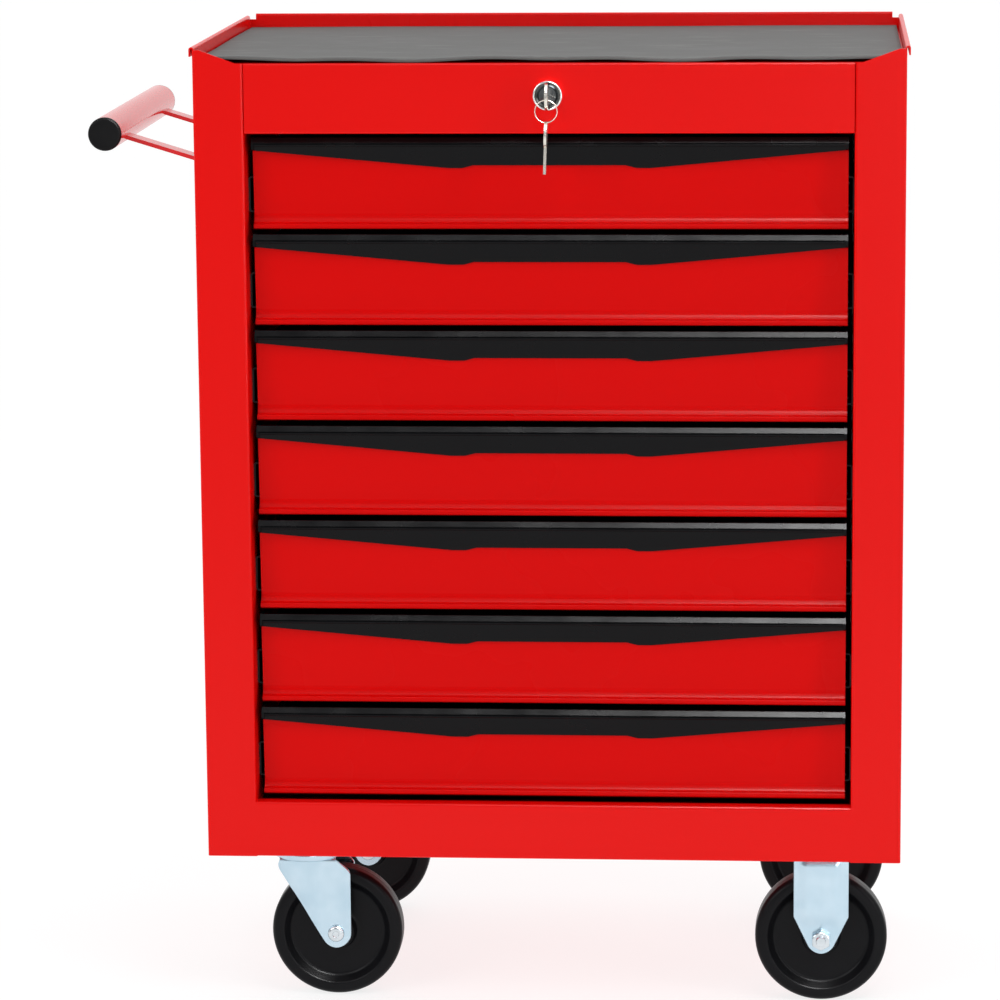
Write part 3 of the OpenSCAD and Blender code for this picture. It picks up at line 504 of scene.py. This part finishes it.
def yoke(top, corners, end_x, crown, boss):
    """A strip bent to a U over the wheel. Along it, the path climbs one leg, turns through a
    bend, crosses the crown and comes down; across it, x runs from the left edge to the right.
    boss(x, z) presses the sheet outwards, and the inner face lies one thickness inside."""
    tip = axle_z - end_r * np.cos(np.linspace(0, pi / 2, 12))
    climb = np.concatenate([tip, np.linspace(axle_z, top - bend, 40)[1:]])
    corner = np.radians(np.linspace(180, 90, 8)[1:])
    across = np.linspace(-leg_outer + bend, 0, 6)[1:]
    y = np.concatenate([0 * climb - leg_outer, -leg_outer + bend + bend * np.cos(corner), across])
    z = np.concatenate([climb, top - bend + bend * np.sin(corner), 0 * across + top])
    ny = np.concatenate([0 * climb - 1, np.cos(corner), 0 * across])
    nz = np.concatenate([0 * climb, np.sin(corner), 0 * across + 1])
    fade = smooth(z, top - 3 * bend, top)
    left, right = [strap_edge(z, c, end_x, side) * (1 - fade) + side * crown(y) * fade
                   for c, side in zip(corners, (-1, 1))]
    y, z, ny, nz, left, right = [np.concatenate([v, sign * v[-2::-1]]) for v, sign in
                                 ((y, -1), (z, 1), (ny, -1), (nz, 1), (left, 1), (right, 1))]
    u = np.linspace(0, 1, 22)
    round_over = 0.5 * MM
    width = np.maximum(right - left - 2 * round_over, 0)[:, None]
    middle = (left + right)[:, None] / 2
    face_x = middle + (u - 0.5) * width
    press = boss(face_x, z[:, None]) * (1 - smooth(z, top - 2 * bend, top - bend))[:, None]

    def at(x, depth):
        """Points at x and at a depth along the strip's own normal."""
        return np.stack(np.broadcast_arrays(x, y[:, None] + ny[:, None] * depth,
                                            z[:, None] + nz[:, None] * depth), -1)

    def edge(x, column):
        """The two points of a cut edge, each in from its face by the rounding."""
        depths = np.array((-round_over, -strip_t + round_over))
        return at(np.repeat(x[:, None], 2, 1), press[:, column, None] + depths)

    outer, inner = at(face_x, press), at(face_x, press - strip_t)
    return np.concatenate([outer, edge(right, -1), inner[:, ::-1], edge(left, 0)[:, ::-1]], 1)


def slab(half_x, half_y, z0, z1, corner_r, edge=0.6 * MM):
    """A flat plate with round corners: its outline is a rounded rectangle, whose rim steps in
    by edge at both faces, and each face closes on its middle."""
    turns = [arc((sx * (half_x - corner_r), sy * (half_y - corner_r)), corner_r, a, a + 90, 7)
             for sx, sy, a in ((1, 1, 0), (-1, 1, 90), (-1, -1, 180), (1, -1, 270))]
    outline = np.concatenate(turns)
    inset = outline * (1 - edge / np.linalg.norm(outline, axis=1))[:, None]
    rings = [(inset * 0, z0), (inset, z0), (outline, z0 + edge), (outline, z1 - edge), (inset, z1),
             (inset * 0, z1)]
    return np.stack([np.column_stack([ring, np.full(len(ring), z)]) for ring, z in rings])


def panel_boss(x, z):
    """A raised panel, 1.4 mm proud, with soft shoulders 3 mm wide down the middle of the leg."""
    side = smooth(-np.abs(x), -16 * MM, -13 * MM)
    return 1.4 * MM * side * smooth(z, 60 * MM, 70 * MM) * smooth(-z, -114 * MM, -109 * MM)


def cheek_boss(x, z):
    """The leg's leading edge, rolled 2.2 mm in towards the wheel over its last 8 mm."""
    lead = strap_edge(z, (-25 * MM, 106 * MM), 22 * MM, -1)
    return -2.2 * MM * (1 - smooth(x - lead, 0, 8 * MM)) * smooth(z, 52 * MM, 75 * MM)


def flat_top(y):
    """Half the width of the fixed bracket's bridge, the same all along it."""
    return 21 * MM + 0 * y


def round_top(y):
    """Half the width of the fork's crown, a disc of 27 mm radius."""
    return np.sqrt((27 * MM) ** 2 - y ** 2)


def axle(y_sign, ends):
    """An axle bolt along Y: its plain shank, and for each (way, end) at that way a chamfered nut
    with a thread end, a hexagon head or a low dome. A y_sign of -1 turns it end for end."""
    shank = [(0, -17.3 * MM), (4 * MM, -17.3 * MM), (4 * MM, 17.3 * MM), (0, 17.3 * MM)]
    parts = [(turned(shank, 24), True, False)]
    for way, end in ends:
        flip = np.array([1, way, way])
        if end == "nut":
            parts += [((hex_body(13 * MM, 6.5 * MM) + [0, 0, leg_outer]) * flip, True, False),
                      ((thread(4 * MM, 2.4 * MM) + [0, 0, leg_outer + 6.3 * MM]) * flip, True, False)]
        elif end == "head":
            parts += [((hex_body(13 * MM, 5.3 * MM) + [0, 0, leg_outer]) * flip, True, False)]
        else:
            dome = np.vstack([[(0, 0), (6.5, 0)], arc((4.1, 1.2), 2.4, 0, 90, 7),
                              [(2.6, 3.6), (2.2, 3.1), (0, 3.1)]]) * MM
            parts += [((turned(dome, 32) + [0, 0, leg_outer]) * flip, True, False)]
    return [(stood(grid, (0, 0, 0), "Y") * np.array([1, y_sign, 1]), a, b) for grid, a, b in parts]


def moved(patches, offset):
    """The same patches at another place."""
    return [(grid + np.array(offset), a, b) for grid, a, b in patches]


plate_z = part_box("fixed_brackets")[1].z
wheel_spots = {}
for name in ("front_right", "rear_right", "front_left", "rear_left"):
    low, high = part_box(f"wheel_{name}")
    wheel_spots[name] = (low + high) / 2
trail = 22 * MM
mounting_plate = (slab(45 * MM, 31 * MM, -2.5 * MM, 0, 6 * MM), False, True)

brackets, fixed_axles = [], []
for name in ("front_right", "rear_right"):
    x, y, _ = wheel_spots[name]
    strip = yoke(plate_z - 2.5 * MM, ((-21 * MM, 68 * MM), (21 * MM, 68 * MM)), 0, flat_top, panel_boss)
    brackets += moved([(strip, False, True)], (x, y, 0)) + moved([mounting_plate], (x, y, plate_z))
    fixed_axles += moved(axle(-1, ((1, "nut"), (-1, "head"))), (x, y, axle_z))
bracket_piece = made("fixed_caster_brackets", brackets, pressed_zinc, "cabinet", 30)
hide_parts("fixed_brackets")
axle_piece = made("fixed_caster_axles", fixed_axles, bolt_zinc, "cabinet", 25)
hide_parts("fixed_axles")

for side in ("front", "rear"):
    x, y, _ = wheel_spots[f"{side}_left"]
    x -= trail
    crown_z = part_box(f"{side}_fork")[1].z - 2.5 * MM
    strip = yoke(crown_z, ((-25 * MM, 106 * MM), (33.5 * MM, 95 * MM)), trail, round_top, cheek_boss)
    rim = np.vstack([[(24.6, -0.2), (24.6, 2.3)], [(25.0, 2.5), (26.2, 2.5)],
                     arc((25.8, 1.3), 1.2, 60, 0, 4), arc((25.0, -1.2), 2.0, 0, -60, 5)]) * MM
    fork = moved([(strip, False, True), (turned(rim, 72) + [0, 0, crown_z], True, True)], (x, y, 0))
    fork_piece = made(f"{side}_fork_pressing", fork, pressed_zinc, f"{side}_swivel", 30)
    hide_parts(f"{side}_fork")
    pin = moved(axle(1, ((1, "nut"), (-1, "dome"))), (x + trail, y, axle_z))
    pin_piece = made(f"{side}_fork_axle_bolt", pin, bolt_zinc, f"{side}_swivel", 25)
    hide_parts(f"{side}_fork_axle")

wheel_pp = moulded_black("wheel_black_pp", "0b0b0d", "111114", 0.34, 1.2 * MM, 0.04 * MM)
wheel_r = axle_z


def wheel_profile():
    """Half of the wheel's section from the bore to the middle of the tread: hub, dished web,
    rim ring with a rounded step on both sides, and a crowned tread with its parting line."""
    side = np.vstack([[(4.08, 14.5), (12.6, 14.5)], arc((12.6, 13.7), 0.8, 90, 0, 5),
                      [(14.2, 8.6)], arc((17.2, 8.2), 3.0, 190, 270, 7), [(27, 5.3), (33.5, 5.5)],
                      arc((34.2, 9.7), 4.2, 275, 325, 8), arc((42.6, 9.9), 2.2, 150, 95, 6),
                      [(43.6, 12.2), (45.2, 11.9)], arc((45.6, 6.7), 5.15, 80, 0, 10),
                      [(50.76, 2.2), (50.76, 0.35), (51.0, 0.2)]]) * MM
    side[:, 0] = np.minimum(side[:, 0], wheel_r)
    return np.vstack([side, (side * [1, -1])[::-1]])


for name in ("front_right", "rear_right", "front_left", "rear_left"):
    low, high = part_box(f"wheel_{name}")
    rim = (stood(turned(wheel_profile(), 160), (low + high) / 2, "Y"), True, True)
    wheel = made(f"{name}_wheel", [rim], wheel_pp, f"wheel_{name}_body", 30)
    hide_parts(f"wheel_{name}")

# ---- Lock and keys ----
# A cam lock with a chromed zinc bezel sits in the rail. Its two flat keys are nickel-plated
# steel, one in the plug and one hanging on a split ring.
# Polished chrome plate: sharp bright reflections, smeared a little by handling.
chrome, tree, shader, place = finish_named("bezel_chrome", Metallic=1.0)
smear = add(tree, "TexNoise", "Fac", {"Vector": place, "Scale": 1 / (4 * MM), "Detail": 4})
fill(tree, shader, {
    "Base Color": add(tree, "Mix", 2, {0: smear, 6: linear("dcdcdd"), 7: linear("e9e9ea")},
                      data_type="RGBA"),
    "Roughness": add(tree, "MapRange", "Result", {"Value": smear, "From Min": 0.3, "From Max": 0.7,
                                                  "To Min": 0.06, "To Max": 0.16})})
low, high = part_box("lock_barrel")
lock_at = ((low.x + high.x) / 2, front_y, (low.z + high.z) / 2)
bezel_r = (high.x - low.x) / 2 / MM
barrel_r, bore_r, barrel_l = bezel_r - 1.75, 6.65, (high.y - front_y) / MM
lip = np.vstack([[(barrel_r, 0), (bezel_r, 0)], arc((bezel_r - 0.8, 2.2), 0.8, 0, 180, 12),
                 [(barrel_r, 1.7)]]) * MM
made("lock_bezel", [(stood(turned(lip, 96), lock_at, "-Y"), True, True)], chrome, "cabinet",
     30)

# Satin nickel on the plug, painted dark: its dark grey is a painted dark reflection on the recessed
# lock face.
# Upright brush lines 0.4 mm apart draw its highlight out, and the paler streaks in its colour are
# painted highlights.
dark_painted_plug_nickel, tree, shader, place = finish_named("plug_nickel_painted_dark", Metallic=1.0)
lines = add(tree, "Mapping", "Vector", {"Vector": place, "Scale": (1.0, 1.0, 0.08)})
brush_and_painted_streaks = add(tree, "TexNoise", "Fac", {"Vector": lines, "Scale": 1 / (0.4 * MM), "Detail": 3})
fill(tree, shader, {
    "Base Color": add(tree, "Mix", 2, {0: brush_and_painted_streaks, 6: linear("4a4d4f"), 7: linear("747879")},
                      data_type="RGBA"),
    "Roughness": add(tree, "MapRange", "Result", {"Value": brush_and_painted_streaks, "From Min": 0.3, "From Max": 0.7,
                                                  "To Min": 0.12, "To Max": 0.22})})
dress(dark_painted_plug_nickel, "lock_plug")
# The barrel's dish wears the same nickel, so its dark tone is a painted dark reflection too.
dish = np.array([(bore_r, -barrel_l), (barrel_r, -barrel_l), (barrel_r, 1.7), (bore_r + 0.6, 1.1),
                 (bore_r, 0.7)]) * MM
dish_piece = made("lock_barrel_dish", [(stood(turned(dish, 72), lock_at, "-Y"), True, True)],
                  dark_painted_plug_nickel, "cabinet", 30)
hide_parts("lock_barrel")

# Bright nickel plate, rubbed in a pocket: a warm gleam that comes and goes in patches.
key_nickel, tree, shader, place = finish_named("key_bright_nickel", Metallic=1.0)
rub = add(tree, "TexNoise", "Fac", {"Vector": place, "Scale": 1 / (2 * MM), "Detail": 5,
                                    "Roughness": 0.7})
fill(tree, shader, {
    "Base Color": add(tree, "Mix", 2, {0: rub, 6: linear("d8d2c8"), 7: linear("efeae0")},
                      data_type="RGBA"),
    "Roughness": add(tree, "MapRange", "Result", {"Value": rub, "From Min": 0.3, "From Max": 0.7,
                                                  "To Min": 0.14, "To Max": 0.3}),
    "Normal": add(tree, "Bump", "Normal", {"Height": rub, "Distance": 0.03 * MM, "Strength": 0.5})})
dress(key_nickel, "lock_key")

ring_low, ring_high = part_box("key_ring")
ring_mid = (ring_low + ring_high) / 2
wire = (ring_high.y - ring_low.y) / 4
ring_r = (ring_high.x - ring_low.x) / 2 - 2 * wire


def split_ring(turns=2, steps=192, sides=10):
    """A wire along a helix of two turns about Y: at angle a it stands at radius r times
    (cos a, sin a) and moves a wire's width along Y over each turn. Its section is a circle."""
    a = np.linspace(0, turns * tau, steps) + radians(200)
    out = np.stack([np.cos(a), 0 * a, np.sin(a)], -1)
    shift = wire * 2.04 * (np.linspace(0, turns, steps) - turns / 2)
    core = out * ring_r + np.array([0, 1, 0]) * shift[:, None]
    b = np.arange(sides) * tau / sides
    y = np.array([0, 1.0, 0])
    round_it = out[:, None, :] * np.cos(b)[None, :, None] + y * np.sin(b)[None, :, None]
    return core[:, None, :] + wire * round_it


coil = split_ring()
ends = [np.repeat(coil[i].mean(0)[None, None], coil.shape[1], 1) for i in (0, -1)]
coil = np.concatenate([ends[0], coil, ends[1]], 0) + np.array(ring_mid)
ring = made("split_ring", [(coil, False, True)], key_nickel, "keyring", 50)
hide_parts("key_ring")

spare = nodes["lock_key"].data.copy()
key_low, key_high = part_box("lock_key")
hole = Vector(((key_low.x + key_high.x) / 2, ring_mid.y, (key_low.z + key_high.z) / 2))
hang = Vector((hole.x, ring_mid.y, ring_low.z + 2 * wire - 2.4 * MM))
spare.transform(Matrix.Translation(hang) @ Matrix.Rotation(radians(2), 4, "Y")
                @ Matrix.Rotation(-pi / 2, 4, "X") @ Matrix.Translation(-hole))
tidy(spare, 30)
placed("spare_key", spare, key_nickel, "keyring")
